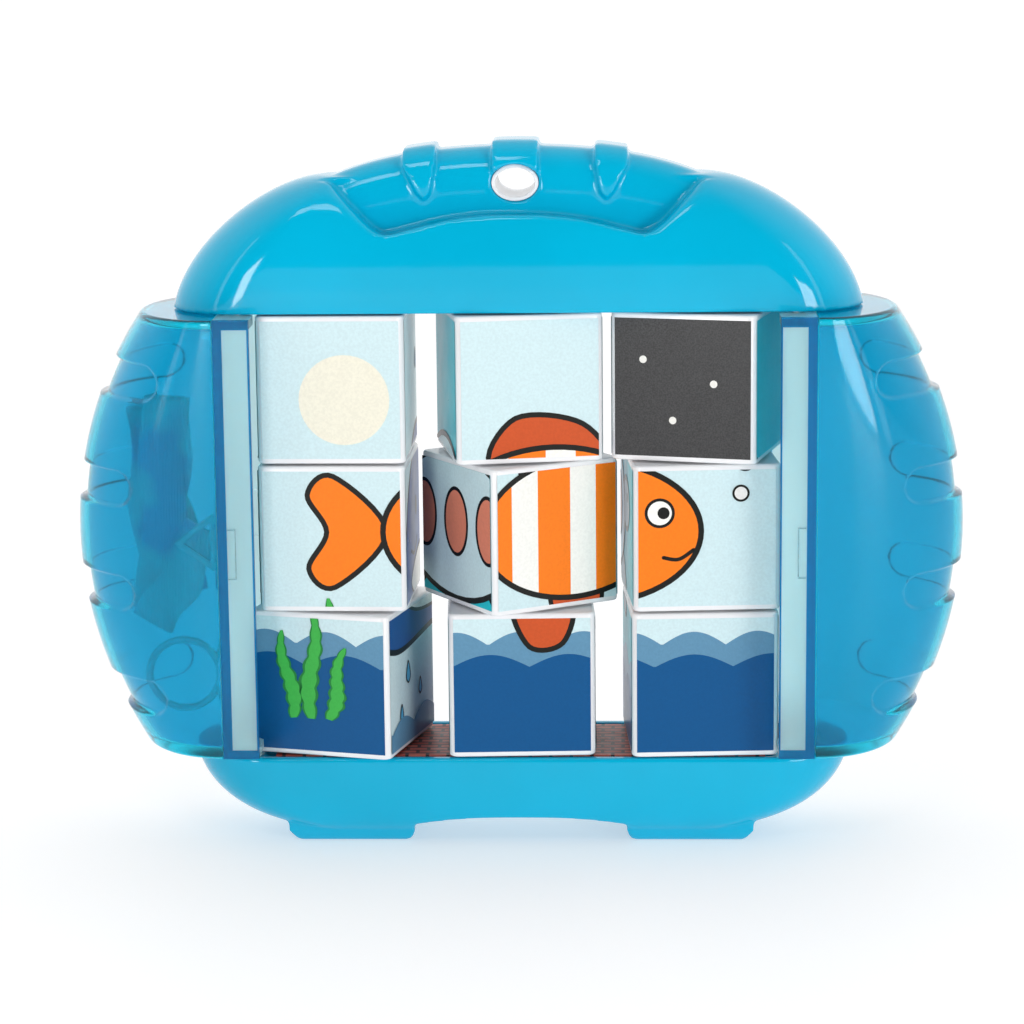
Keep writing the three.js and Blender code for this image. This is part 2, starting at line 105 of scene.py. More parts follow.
CUBE = edges("cube_r1c1")[1][2] - edges("cube_r1c1")[0][2]
CUBE_EDGE = 2.4  # rounding of a cube's upright edges
CUBE_EASE = 0.7  # rounding of a cube's upper and lower edges
COLUMN_PITCH = 48.6
ROW_PITCH = 40.0
CUBE_TURNS = [[-0.8, 11, -14.5], [-1.7, 32.5, 4.8], [-14.5, 2.7, 3.6]]  # in degrees, row by row
HALF_TURNED = (0, 2)  # the row and column of the cube that shows the back's picture in front
AXLE_BORE = 3.3


# ---- material helpers


def srgb(code):
    """A colour written as RRGGBB, as linear red, green and blue."""
    parts = [int(code[i : i + 2], 16) / 255 for i in (0, 2, 4)]
    return tuple(p / 12.92 if p <= 0.04045 else ((p + 0.055) / 1.055) ** 2.4 for p in parts)


def new_material(name):
    material = bpy.data.materials.new(name)
    material.use_nodes = True
    tree = material.node_tree
    return material, tree, tree.nodes["Principled BSDF"]


def set_inputs(node, values):
    """Gives a node's inputs their constants, or links them to what feeds them."""
    for name, value in values.items():
        if isinstance(value, bpy.types.NodeSocket):
            node.id_data.links.new(value, node.inputs[name])
        else:
            node.inputs[name].default_value = value


def add_node(tree, kind, values=()):
    node = tree.nodes.new("ShaderNode" + kind)
    set_inputs(node, dict(values))
    return node


def calculate(tree, operation, *values):
    node = add_node(tree, "Math", enumerate(values))
    node.operation = operation
    return node.outputs[0]


def object_place(tree):
    """Coordinates fixed to the object, so that what they shape rides with it."""
    return add_node(tree, "TexCoord").outputs["Object"]


def place_noise(tree, scale, detail=3.0, stretch=(1, 1, 1)):
    mapped = add_node(tree, "Mapping", {"Scale": stretch, "Vector": object_place(tree)}).outputs["Vector"]
    return add_node(tree, "TexNoise", {"Scale": scale, "Detail": detail, "Vector": mapped}).outputs["Fac"]


def two_tone(tree, fac, first, second, ends=(0.35, 0.65)):
    """A colour that goes from the first to the second as fac goes from one end to the other."""
    ramp = add_node(tree, "ValToRGB", {"Fac": fac})
    for stop, position, colour in zip(ramp.color_ramp.elements, ends, (first, second)):
        stop.position = position
        stop.color = (*colour, 1)
    return ramp.outputs["Color"]


def shades(tree, fac, code, spread):
    """A colour that drifts a little to both sides."""
    colour = np.array(srgb(code))
    return two_tone(tree, fac, colour * (1 - spread), np.minimum(colour * (1 + spread), 1))


def bump(tree, fac, strength, distance):
    values = {"Strength": strength, "Distance": distance, "Height": fac}
    return add_node(tree, "Bump", values).outputs["Normal"]


def between(tree, fac, low, high):
    return add_node(tree, "MapRange", {"To Min": low, "To Max": high, "Value": fac}).outputs["Result"]


def moulded(name, code, spread=0.05, rough=(0.05, 0.09), specular=0.32):
    """Glossy moulded plastic with a faint orange peel."""
    material, tree, shader = new_material(name)
    set_inputs(shader, {
        "Base Color": shades(tree, place_noise(tree, 18), code, spread),
        "Roughness": between(tree, place_noise(tree, 60), *rough),
        "Normal": bump(tree, place_noise(tree, 700, 2), 0.015, 0.0002),
        "Specular IOR Level": specular,
    })
    return material


def object_mask(tree, axis, low, high):
    """1 where the distance from the origin along an axis is between two values in millimetres."""
    split = add_node(tree, "SeparateXYZ", {"Vector": object_place(tree)})
    size = calculate(tree, "ABSOLUTE", split.outputs[axis])
    above = calculate(tree, "GREATER_THAN", size, low * MM)
    below = calculate(tree, "LESS_THAN", size, high * MM)
    return calculate(tree, "MULTIPLY", above, below)


def flow_marks(tree, colour):
    """A clear plastic's colour with faint flow marks."""
    marks = place_noise(tree, 25, 4, (1, 1, 0.35))
    return two_tone(tree, marks, np.array(colour) * 0.94, np.minimum(np.array(colour) * 1.04, 1))


def clear_finish(tree, shader, colour, rough, transmission):
    """A clear plastic with uneven roughness and a glossy coat."""
    set_inputs(shader, {
        "Base Color": colour,
        "Roughness": between(tree, place_noise(tree, 90), rough * 0.85, rough * 1.15),
        "Normal": bump(tree, place_noise(tree, 220, 2), 0.04, 0.0003),
        "Transmission Weight": transmission,
        "IOR": 1.2,
        "Coat Weight": 0.4,
        "Coat Roughness": 0.04,
        "Coat IOR": 1.4,
    })


def deep_blue_clear():
    """The storage bins: tinted, hazy inside and glossy outside."""
    material, tree, shader = new_material("deep_blue_clear_plastic")
    clear_finish(tree, shader, flow_marks(tree, (0.002, 0.57, 0.77)), 0.1, 0.95)
    return material


def pale_clear():
    """The side frames: pale and frosted, with painted deep blue shade on the front ends of the walls, where
    a wall is seen edge on.
    """
    material, tree, shader = new_material("pale_clear_plastic")
    pale = flow_marks(tree, (0.72, 0.95, 0.97))
    near_faces = object_mask(tree, "Y", WING_HALF_DEPTH - PAINTED_EDGE_DEPTH, WING_HALF_DEPTH + 1)
    walls = object_mask(tree, "X", WEB_X - 0.05, WEB_X + 9)
    for axis, low, high in (
        ("X", STRIP_X - 1, STRIP_X + PAINTED_RIM_WIDTH),
        ("Z", WING_LOW - 1, WING_LOW + WING_WALL),
        ("Z", WING_HIGH - WING_WALL, WING_HIGH + 1),
    ):
        walls = calculate(tree, "MAXIMUM", walls, object_mask(tree, axis, low, high))
    # painted shade: the front ends of the walls and a line along each strip's inner edge turn deep blue, as
    # clear walls look when seen edge on
    mix = add_node(tree, "Mix")
    mix.data_type = "RGBA"
    painted_edge_shade = calculate(tree, "MULTIPLY", walls, near_faces)
    set_inputs(mix, {"Factor": painted_edge_shade, "A": pale, "B": (0.0, 0.2, 0.55, 1)})
    clear_finish(tree, shader, mix.outputs["Result"], 0.5, 0.75)
    return material


def steel_material():
    material, tree, shader = new_material("steel")
    grain = place_noise(tree, 300, 2, (1, 1, 0.05))
    set_inputs(shader, {
        "Base Color": two_tone(tree, grain, (0.42, 0.43, 0.45), (0.6, 0.61, 0.63)),
        "Roughness": between(tree, grain, 0.25, 0.4),
        "Metallic": 1,
    })
    return material


# ---- mesh helpers


def place(name, data):
    """A new object in the scene."""
    piece = bpy.data.objects.new(name, data)
    bpy.context.scene.collection.objects.link(piece)
    return piece


def make_object(name, vertices, faces, materials=(), indices=None):
    """A mesh object from points in millimetres."""
    mesh = bpy.data.meshes.new(name)
    mesh.from_pydata([tuple(p) for p in np.asarray(vertices, float) * MM], [], [tuple(f) for f in faces])
    for material in materials:
        mesh.materials.append(material)
    if indices is not None:
        mesh.polygons.foreach_set("material_index", indices)
    mesh.update()
    return place(name, mesh)


def loft(name, rings):
    """A closed solid through rings of points, with a flat cap at each end."""
    count = len(rings[0])
    faces = []
    for ring in range(len(rings) - 1):
        for i in range(count):
            a, b = ring * count + i, ring * count + (i + 1) % count
            faces.append((a, b, b + count, a + count))
    last = (len(rings) - 1) * count
    faces.append(tuple(reversed(range(count))))
    faces.append(tuple(range(last, last + count)))
    piece = make_object(name, np.concatenate(rings), faces)
    outward(piece)
    return piece


def outward(piece):
    """Turns every face to the outside."""
    rework(piece.data, lambda work: bmesh.ops.recalc_face_normals(work, faces=work.faces))


def rework(mesh, change):
    """Makes a change to a mesh through bmesh."""
    work = bmesh.new()
    work.from_mesh(mesh)
    change(work)
    work.to_mesh(mesh)
    work.free()


def at_height(outline, z):
    """An outline in X and Y as points at one height."""
    return np.column_stack([outline, np.full(len(outline), z)])


def prism_y(name, outline, low, high):
    """An outline in X and Z, carried along Y."""
    outline = np.asarray(outline, float)
    rings = [np.column_stack([outline[:, 0], np.full(len(outline), y), outline[:, 1]]) for y in (low, high)]
    return loft(name, rings)


def bezier(control, t):
    """A curve's values at t, from its four control values."""
    a, b, c, d = control
    s = 1 - t
    return s**3 * a + 3 * s * s * t * b + 3 * s * t * t * c + t**3 * d


def spline(points, per=8, closed=True):
    """A smooth curve through points (Catmull-Rom)."""
    points = np.asarray(points, float)
    count = len(points)
    out = []
    for i in range(count if closed else count - 1):
        pick = [(i + k) % count if closed else min(max(i + k, 0), count - 1) for k in (-1, 0, 1, 2)]
        a, b, c, d = points[pick]
        square, cubic = 2 * a - 5 * b + 4 * c - d, 3 * b - a - 3 * c + d
        for step in range(per):
            t = step / per
            out.append(0.5 * (2 * b + (c - a) * t + square * t**2 + cubic * t**3))
    if not closed:
        out.append(points[-1])
    return np.array(out)


def stadium(half_length, half_depth, per_end=28, per_side=24):
    """Two straight sides along X and two round ends."""
    straight = half_length - half_depth
    points = []
    for side in (1, -1):
        for turn in np.linspace(-np.pi / 2, np.pi / 2, per_end):
            x, y = straight + half_depth * math.cos(turn), half_depth * math.sin(turn)
            points.append((side * x, side * y))
        for x in np.linspace(straight, -straight, per_side + 2)[1:-1]:
            points.append((side * x, side * half_depth))
    return np.array(points)


def both_sides(half):
    """Points from the middle outwards, with their mirror images before them."""
    return [(-x, z) for x, z in reversed(half[1:])] + list(half)


def stadium_loft(name, levels):
    """A solid through stadiums, each given by its half length, half depth and height."""
    return loft(name, [at_height(stadium(a, b), z) for a, b, z in levels])


def oval(half, count=48, middle=(0, 0)):
    turns = np.linspace(0, 2 * np.pi, count, endpoint=False)
    return np.column_stack([middle[0] + half[0] * np.cos(turns), middle[1] + half[1] * np.sin(turns)])


def settle(piece):
    """Applies the piece's modifiers."""
    graph = bpy.context.evaluated_depsgraph_get()
    mesh = bpy.data.meshes.new_from_object(piece.evaluated_get(graph))
    piece.modifiers.clear()
    piece.data = mesh
    return piece


def combine(piece, tools, operation):
    """A Boolean of a piece with each tool in turn. The tools are used up."""
    for tool in tools:
        modifier = piece.modifiers.new(operation.lower(), "BOOLEAN")
        modifier.object = tool
        modifier.operation = operation
        modifier.solver = "EXACT"
    settle(piece)
    for tool in tools:
        bpy.data.objects.remove(tool)
    return piece


def soften(piece, voxel, passes):
    """Remeshes a solid evenly and rounds its edges by a few voxels."""
    remesh = piece.modifiers.new("remesh", "REMESH")
    remesh.mode = "VOXEL"
    remesh.voxel_size = voxel * MM
    smooth = piece.modifiers.new("smooth", "SMOOTH")
    smooth.factor = 0.5
    smooth.iterations = passes
    settle(piece)
    shade_smooth(piece)
    return piece


def shade_smooth(piece):
    piece.data.polygons.foreach_set("use_smooth", [True] * len(piece.data.polygons))


def dress(piece, material, body, node):
    """Gives a piece its material and its body, and hides the CAD node that it stands for."""
    piece.data.materials.clear()
    piece.data.materials.append(material)
    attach(piece, body)
    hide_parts(node)
    return piece


def mirrored(piece, name):
    """A copy on the other side of the object."""
    mesh = piece.data.copy()
    mesh.transform(Matrix.Scale(-1, 4, (1, 0, 0)))
    mesh.flip_normals()
    return place(name, mesh)


def refined(node, name, width):
    """A copy of a CAD node with small rounded edges."""

    def merge_flat_faces(work):
        bmesh.ops.remove_doubles(work, verts=work.verts, dist=1e-6)
        bmesh.ops.dissolve_limit(work, angle_limit=math.radians(1), verts=work.verts, edges=work.edges)

    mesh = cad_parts[node].data.copy()
    rework(mesh, merge_flat_faces)
    piece = place(name, mesh)
    bevel = piece.modifiers.new("bevel", "BEVEL")
    bevel.width = width * MM
    bevel.segments = 2
    bevel.limit_method = "ANGLE"
    bevel.angle_limit = math.radians(40)
    return settle(piece)


# ---- top shell

# Four control values of a curve each. The dome's run from its rim to its crown, in half lengths, half depths
# and heights above the rim, and the crest's from its middle to its end.
DOME_LENGTHS = (SHELL_END, 88.5, 64.5, 51)
DOME_DEPTHS = (CASE_HALF_DEPTH, 20.9, 19, 8)
DOME_RISES = (0, 18.6, 35, 35)
CREST_X = (0, 24, 40, 53.6)
CREST_RISE = (42.55, 42.35, 39.6, 32.6)
RIDGE_END = CREST_X[-1]

# Outlines seen from the front, as X and height above the rim.
SCOOP_LIP = [(0, 25.4), (9, 25.2), (18, 24.1), (28, 21.7), (34, 20.5), (38, 22.6), (43, 27.6), (48.5, 33.2)]
SCOOP_LIP += [(54, 37), (54, 60)]
SCOOP_END = (44, 17)  # about where a scoop's end begins to roll into the shoulder
MIDDLE_RIB = [(-6, 36.4), (6, 36.4), (6, 60), (-6, 60)]
SIDE_RIB = [(20.6, 60), (21, 38), (22.4, 30.6), (24, 29), (25.6, 30.6), (29.6, 38), (29.6, 60)]


def crest(x):
    """The ridge's crest above the shell's rim."""
    steps = np.linspace(0, 1, 400)
    return np.interp(abs(x), bezier(CREST_X, steps), bezier(CREST_RISE, steps))


def ridge_section(x, rise):
    """The ridge's outline across X: upright sides that round over into the crest."""
    half = RIDGE_HALF_DEPTH + rise
    top = CEILING_Z + crest(x) + rise
    t = np.linspace(0, 1, 14)
    y = np.concatenate([[half + 0.8], bezier((half, half, half - 2.2, half - 8), t)])
    z = np.concatenate([[CEILING_Z + 18], bezier((top - 12, top - 4.5, top, top), t)])
    y, z = np.concatenate([y, -y[::-1]]), np.concatenate([z, z[::-1]])
    return np.column_stack([np.full(len(y), x), y, z])


def ridge(name, rise, start, end, steps):
    return loft(name, [ridge_section(x, rise) for x in np.linspace(start, end, steps)])


def rib(name, outline, start, end):
    """A raised band over the ridge, kept to an outline seen from the front."""
    band = ridge(name, RIB_RISE, start, end, 16)
    window = prism_y("window", [(x, CEILING_Z + z) for x, z in outline], -20, 20)
    return combine(band, [window], "INTERSECT")


def finger_scoop(side):
    """The hollow in front of the ridge. Its floor is the lip, and its ends curl up the shoulders."""
    outline = spline(both_sides(SCOOP_LIP), 6, closed=False)
    low, high = (RIDGE_HALF_DEPTH - 2, 40) if side > 0 else (-40, 2 - RIDGE_HALF_DEPTH)
    return prism_y("scoop", [(x, CEILING_Z + z) for x, z in outline], low, high)


def scoop_end(point):
    """1 in the middle of the band where a scoop's end rolls into the shoulder, 0 away from it."""
    x, y, z = abs(point.x) / MM, abs(point.y) / MM, point.z / MM - CEILING_Z
    along = 1 - min(abs(x - SCOOP_END[0]) / 9, 1)
    front = min(max((y - RIDGE_HALF_DEPTH - 1) / 2, 0), 1)
    above = min(max((z - SCOOP_END[1]) / 4, 0), 1)
    return min(2 * along, 1) * front * above


def round_over(piece, weight, passes):
    """Smooths a part of a piece until its edges are round."""
    group = piece.vertex_groups.new(name="soft")
    for vertex in piece.data.vertices:
        share = weight(vertex.co)
        if share > 0:
            group.add([vertex.index], share, "REPLACE")
    smooth = piece.modifiers.new("round over", "SMOOTH")
    smooth.factor = 0.5
    smooth.iterations = passes
    smooth.vertex_group = "soft"
    settle(piece)
    piece.vertex_groups.clear()


def hole_prism(name, inset, reach):
    """The lanyard hole's oval, made smaller by an inset, from front to back."""
    return prism_y(name, oval([half - inset for half in HOLE_HALF], middle=(0, HOLE_Z)), -reach, reach)


def top_shell(material):
    steps = np.linspace(0, 1, 40)
    lengths, depths = bezier(DOME_LENGTHS, steps), bezier(DOME_DEPTHS, steps)
    heights = CEILING_Z + bezier(DOME_RISES, steps)
    shell = stadium_loft("top_shell_skin", zip(lengths, depths, heights))
    combine(shell, [finger_scoop(-1), finger_scoop(1)], "DIFFERENCE")
    ribs = [
        rib("rib_middle", MIDDLE_RIB, -6, 6),
        rib("rib_right", SIDE_RIB, 20.5, 29.7),
        rib("rib_left", [(-x, z) for x, z in SIDE_RIB], -29.7, -20.5),
    ]
    combine(shell, [ridge("ridge", 0, -RIDGE_END, RIDGE_END, 90), *ribs], "UNION")
    levels = [(CAVITY_END, CAVITY_HALF_DEPTH, CEILING_Z + rise) for rise in (-1, 8)]
    levels.append((CAVITY_END - 8, CAVITY_HALF_DEPTH - 2.4, CEILING_Z + 17))
    combine(shell, [stadium_loft("cavity", levels), hole_prism("hole", 0, 30)], "DIFFERENCE")
    soften(shell, 0.6, 5)
    round_over(shell, scoop_end, 50)
    return dress(shell, material, "case", "top_shell")


def lanyard_eyelet(material):
    """The pale wall inside the lanyard hole, which ends just short of the ridge's cheeks."""
    outer = hole_prism("lanyard_eyelet_ring", 0.1, 20)
    combine(outer, [hole_prism("inner", 1.1, 30)], "DIFFERENCE")
    combine(outer, [ridge("cheeks", -0.2, -9, 9, 8)], "INTERSECT")
    soften(outer, 0.22, 3)
    return dress(outer, material, "case", "lanyard_eyelet")


# ---- bottom shell

# The bowl's curves run from its rim to its underside, in half lengths, half depths and drops below the rim.
BOWL_LENGTHS = (BASE_END, 88, 80, 62)
BOWL_DEPTHS = (CASE_HALF_DEPTH, 20.2, 19.4, 15)
BOWL_DROPS = (0, 9, 18.6, 21.2)
ARCH = [(0, 7.6), (11, 7.4), (21, 6.6), (28.8, 5.3)]  # X and height
ARCH_END = ARCH[-1][0]
FOOT_LAYERS = [  # inner end, outer end, half depth and height
    (31, 60, 12.6, 0),
    (30, 61, 13.6, 0.5),
    (29.3, 61.8, 14.2, 1.4),
    (28.8, 63, 15, 3),
    (28.8, 63.2, 15, 9),
]
SCREW_X, SCREW_Y = 38, 8
SCREW_HOLES = [("counterbore", 2.5, 32, (-1, 3.4)), ("screw_hole", 1.4, 24, (3, 13))]  # radius, sides, ends


def foot(side):
    rings = []
    for inner, outer, depth, z in FOOT_LAYERS:
        corners = [(inner, -depth), (outer, -depth), (outer, depth), (inner, depth)]
        rings.append(at_height(np.array([(side * x, y) for x, y in corners]), z))
    return loft("foot", rings)


def bottom_shell(material):
    steps = np.linspace(0, 1, 36)
    lengths, depths = bezier(BOWL_LENGTHS, steps), bezier(BOWL_DEPTHS, steps)
    heights = FLOOR_Z - bezier(BOWL_DROPS, steps)
    shell = stadium_loft("bottom_shell_skin", zip(lengths, depths, heights))
    curve = spline(both_sides(ARCH), 6, closed=False)
    arch = [(-ARCH_END, -5), (ARCH_END, -5), *curve[::-1]]
    combine(shell, [prism_y("arch", arch, -30, 30)], "DIFFERENCE")
    combine(shell, [foot(-1), foot(1)], "UNION")
    levels = [(CAVITY_END - 12, CAVITY_HALF_DEPTH - 3, BASE_FLOOR_Z)]
    levels += [(CAVITY_END, CAVITY_HALF_DEPTH, FLOOR_Z + rise) for rise in (-4.8, 1)]
    tools = [stadium_loft("cavity", levels)]
    for y in (-SCREW_Y, SCREW_Y):
        for x in (-SCREW_X, SCREW_X):
            for name, radius, count, heights in SCREW_HOLES:
                hole = oval((radius, radius), count, (x, y))
                tools.append(loft(name, [at_height(hole, z) for z in heights]))
    combine(shell, tools, "DIFFERENCE")
    soften(shell, 0.6, 6)
    return dress(shell, material, "case", "bottom_shell")


# ---- side bins


def wing_edge(z):
    """How far out a bin's wall reaches at a height."""
    return WING_END - WING_ARC + math.sqrt(WING_ARC**2 - (z - MIDDLE_Z) ** 2)


def bin_outline(z, inset, count=150):
    """One level of a bin: half an oval whose flat side is its mouth."""
    turns = np.linspace(-np.pi / 2, np.pi / 2, count)
    reach, half = wing_edge(z) - BIN_X - inset, WING_HALF_DEPTH - inset
    return np.column_stack([BIN_X + reach * np.cos(turns), half * np.sin(turns)])


def notch_depths(outline, z):
    """How far the grip notches sink the points of one level, with soft edges."""
    sunk = np.zeros(len(outline))
    for step in (-1.5, -0.5, 0.5, 1.5):
        middle = MIDDLE_Z + step * NOTCH_PITCH
        inner = wing_edge(middle) - NOTCH_REACH
        away = np.hypot(np.maximum(inner - outline[:, 0], 0), z - middle) - NOTCH_HEIGHT / 2
        t = np.clip(-away / NOTCH_SOFT, 0, 1)
        sunk = np.maximum(sunk, t * t * (3 - 2 * t) * NOTCH_DEPTH)
    return sunk


def bin_skin(low, high, inset, edge, notched, levels):
    """The levels of a bin's wall with rounded upper and lower edges, from the bottom to the top."""
    quarter = np.linspace(0, np.pi / 2, 6)
    ends = edge * (1 - np.sin(quarter))
    between_ends = np.linspace(low + edge, high - edge, levels)[1:-1]
    rise = edge * (1 - np.cos(quarter))
    heights = np.concatenate([low + rise, between_ends, high - rise[::-1]])
    insets = np.concatenate([ends, np.zeros(levels - 2), ends[::-1]])
    rings = []
    for z, extra in zip(heights, insets):
        outline = bin_outline(z, inset)
        pull = np.full(len(outline), extra)
        if notched:
            pull += notch_depths(outline, z)
        normals = outline - np.array([BIN_X, 0])
        normals /= np.array([wing_edge(z) - BIN_X, WING_HALF_DEPTH]) ** 2
        normals /= np.linalg.norm(normals, axis=1)[:, None]
        pulled = outline - normals * pull[:, None]
        pulled[[0, -1], 0] = BIN_X
        rings.append(at_height(np.maximum(pulled, [BIN_X, -100]), z))
    return rings


def side_bin():
    """The right bin: a notched outer wall and a plain inner one, joined round the mouth."""
    outer = bin_skin(WING_LOW, WING_HIGH, 0, 0.8, True, 260)
    inner = bin_skin(WING_LOW + WING_WALL, WING_HIGH - WING_WALL, WING_WALL, 1.2, False, 60)
    count = len(outer[0])
    vertices = np.concatenate(outer + inner)
    faces = []
    for start, rings, flip in ((0, outer, False), (len(outer) * count, inner, True)):
        for ring in range(len(rings) - 1):
            for i in range(count - 1):
                a = start + ring * count + i
                quad = (a, a + 1, a + 1 + count, a + count)
                faces.append(quad[::-1] if flip else quad)
        low_cap = tuple(range(start, start + count))
        high_cap = tuple(range(start + (len(rings) - 1) * count, start + len(rings) * count))
        faces.append(low_cap if flip else low_cap[::-1])
        faces.append(high_cap[::-1] if flip else high_cap)

    def join_walls(work):
        bmesh.ops.bridge_loops(work, edges=[edge for edge in work.edges if edge.is_boundary])
        bmesh.ops.recalc_face_normals(work, faces=work.faces)
        for face in work.faces:
            face.smooth = len(face.verts) == 4

    piece = make_object("side_bin_right_skin", vertices, faces)
    rework(piece.data, join_walls)
    return piece


# ---- cubes


def rounded_square(side, radius, per_corner=8):
    inset = side / 2 - radius
    points = []
    for corner in range(4):
        middle = math.pi * (corner / 2 + 0.25)
        x, y = math.copysign(inset, math.cos(middle)), math.copysign(inset, math.sin(middle))
        for i in range(per_corner + 1):
            turn = math.pi * (corner / 2 + i / per_corner / 2)
            points.append((x + radius * math.cos(turn), y + radius * math.sin(turn)))
    return np.array(points)


def cube_body():
    """A white block about its own centre, with eased edges and a bore for the axle."""
    side = CUBE - 2 * PRINT_THICK
    half = side / 2
    quarter = np.linspace(0, np.pi / 2, 5)
    rings = []
    for turn in quarter[::-1]:
        z, pull = -half + CUBE_EASE * (1 - math.sin(turn)), CUBE_EASE * (1 - math.cos(turn))
        rings.append(at_height(rounded_square(side - 2 * pull, CUBE_EDGE - pull), z))
    rings = rings + [ring * [1, 1, -1] for ring in rings[::-1]]
    block = loft("block", rings)
    bore = loft("bore", [at_height(oval((AXLE_BORE, AXLE_BORE), 40), z) for z in (-30, 30)])
    combine(block, [bore], "DIFFERENCE")
    for face in block.data.polygons:
        face.use_smooth = abs(face.normal.z) < 0.999
    block.data.set_sharp_from_angle(angle=math.radians(35))
    return block


# ---- the printed pictures

PRINT_THICK = 0.2  # all of a picture's inks together
SMALLEST_AREA = 1e-4  # slivers below this are left out of a print
CELL = 36.6  # the part of a picture that one cube shows
FISH_MIDDLE, FISH_HALF = (6, 2), (29, 19)


def fill(points):
    """A flat shape as triangles."""
    found = tessellate_polygon([[Vector((x, y, 0)) for x, y in points]])
    return [np.asarray(points)[list(triangle)] for triangle in found]


def stroke(points, width, closed=True):
    """A line of even width along points, with round tips if it is open."""
    points = np.asarray(points, float)
    ahead = np.roll(points, -1, 0) if closed else np.vstack([points[1:], 2 * points[-1] - points[-2]])
    behind = np.roll(points, 1, 0) if closed else np.vstack([2 * points[0] - points[1], points[:-1]])
    along = ahead - behind
    along /= np.linalg.norm(along, axis=1)[:, None] + 1e-12
    side = np.column_stack([-along[:, 1], along[:, 0]]) * width / 2
    left, right = points + side, points - side
    count = len(points)
    quads = []
    for i in range(count if closed else count - 1):
        j = (i + 1) % count
        quads.append(np.array([right[i], right[j], left[j], left[i]]))
    if not closed:
        for tip in (points[0], points[-1]):
            quads.append(oval((width / 2, width / 2), 12, tip))
    return quads


def clipped(polygon, low, high):
    """What is left of a convex polygon inside a square window."""
    for axis in (0, 1):
        for bound, sign in ((low[axis], 1), (high[axis], -1)):
            kept = []
            for i in range(len(polygon)):
                a, b = polygon[i], polygon[(i + 1) % len(polygon)]
                da, db = sign * (a[axis] - bound), sign * (b[axis] - bound)
                if da >= 0:
                    kept.append(a)
                if (da > 0) != (db > 0) and abs(da - db) > 1e-12:
                    kept.append(a + (b - a) * da / (da - db))
            polygon = kept
            if len(polygon) < 3:
                return None
    return np.array(polygon)


class Picture:
    """Flat inks laid one over another across all nine cubes, in millimetres from the picture's middle."""

    def __init__(self, ground):
        self.inks = []
        self.disc(ground, (0, 0), (90, 90))

    def lay(self, ink, polygons):
        self.inks.append((ink, polygons))

    def shape(self, ink, curve, line):
        """A closed shape, with an outline if it has a line width."""
        self.lay(ink, fill(curve))
        if line:
            self.lay("black", stroke(curve, line))

    def blob(self, ink, points, line=None):
        self.shape(ink, spline(points), line)

    def disc(self, ink, middle, half, tilt=0, line=None):
        turn = math.radians(tilt)
        spin = np.array([[math.cos(turn), -math.sin(turn)], [math.sin(turn), math.cos(turn)]])
        self.shape(ink, oval(half, 40) @ spin.T + np.array(middle), line)

    def line(self, ink, points, width):
        self.lay(ink, stroke(spline(points, closed=False), width, closed=False))

    def drop(self, ink, middle, size, line=None):
        points = [(0, 1.3), (-0.55, 0.2), (-0.6, -0.5), (0, -0.95), (0.6, -0.5), (0.55, 0.2)]
        self.blob(ink, np.array(points) * size + np.array(middle), line)

    def waves(self, ink, height, swell, length, shift=0):
        """A sea whose upper edge is a row of round humps."""
        x = np.linspace(-60, 60, 181)
        top = height + swell * np.abs(np.sin(np.pi * (x - shift) / length))
        self.lay(ink, fill([(-60, -60), (60, -60), *zip(x[::-1], top[::-1])]))


def leafy_blade(root, tip, bend, half):
    """A blade of seaweed with scalloped edges that narrows to its tip."""
    root, tip = np.array(root, float), np.array(tip, float)
    across = np.array([tip[1] - root[1], root[0] - tip[0]]) / np.linalg.norm(tip - root)
    left, right = [], []
    for t in np.linspace(0, 1, 65):
        middle = root + (tip - root) * t + across * bend * math.sin(2 * math.pi * t)
        scallop = 1 + 0.4 * abs(math.sin(7 * math.pi * t))
        reach = half * scallop * math.sqrt(max(1.02 - t, 0)) * min(0.45 + 2 * t, 1)
        left.append(middle - across * reach)
        right.append(middle + across * reach)
    return np.array(left + right[::-1])


def fish_picture():
    """The front: a plain banded fish that swims to the right over the sea."""
    art = Picture("sky")
    art.disc("cream", (-33, 34), (12, 12))
    art.waves("wave", -25.5, 3.6, 17, 8)
    art.waves("deep_sea", -31.5, 3.4, 21, 2)
    art.blob("orange", [(-22, 2), (-36, 17), (-43, 12), (-38, 2), (-43, -8), (-36, -13)], 1.4)
    art.blob("dark_orange", [(-10, 16), (-4, 29), (14, 27), (20, 15)], 1.4)
    art.blob("dark_orange", [(-2, -14), (2, -26), (11, -25), (13, -14)], 1.4)
    (x, y), (half_length, half_height) = FISH_MIDDLE, FISH_HALF
    body = oval(FISH_HALF, 64, FISH_MIDDLE)
    art.lay("orange", fill(body))
    for start in (-14, 4):
        across = np.linspace(start, start + 8, 9)
        reach = half_height * np.sqrt(1 - ((across - x) / half_length) ** 2)
        art.lay("belly", fill([*zip(across, y + reach), *zip(across[::-1], y - reach[::-1])]))
    art.lay("black", stroke(body, 1.5))
    art.disc("belly", (24, 7), (3.6, 3.6), 0, 0.8)
    art.disc("black", (25, 7), (1.6, 1.6))
    art.line("black", [(33, -3), (29, -5.5), (25, -5)], 1)
    for rise, size in ((12, 2), (21, 2.8), (33, 3.8)):
        art.disc("bubble", (44 + rise / 8, rise), (size, size), 0, 0.6)
    blades = [  # root, tip, bend and half width
        ((-44, -46), (-47, -22), 1, 2.4),
        ((-39, -46), (-38, -16), -1, 2.6),
        ((-34, -46), (-29, -26), 1, 2.4),
    ]
    art.lay("weed_dark", [piece for blade in blades for piece in fill(leafy_blade(*blade))])
    inner = [leafy_blade(root, tip, bend, half * 0.72) for root, tip, bend, half in blades]
    art.lay("weed", [piece for outline in inner for piece in fill(outline)])
    return art


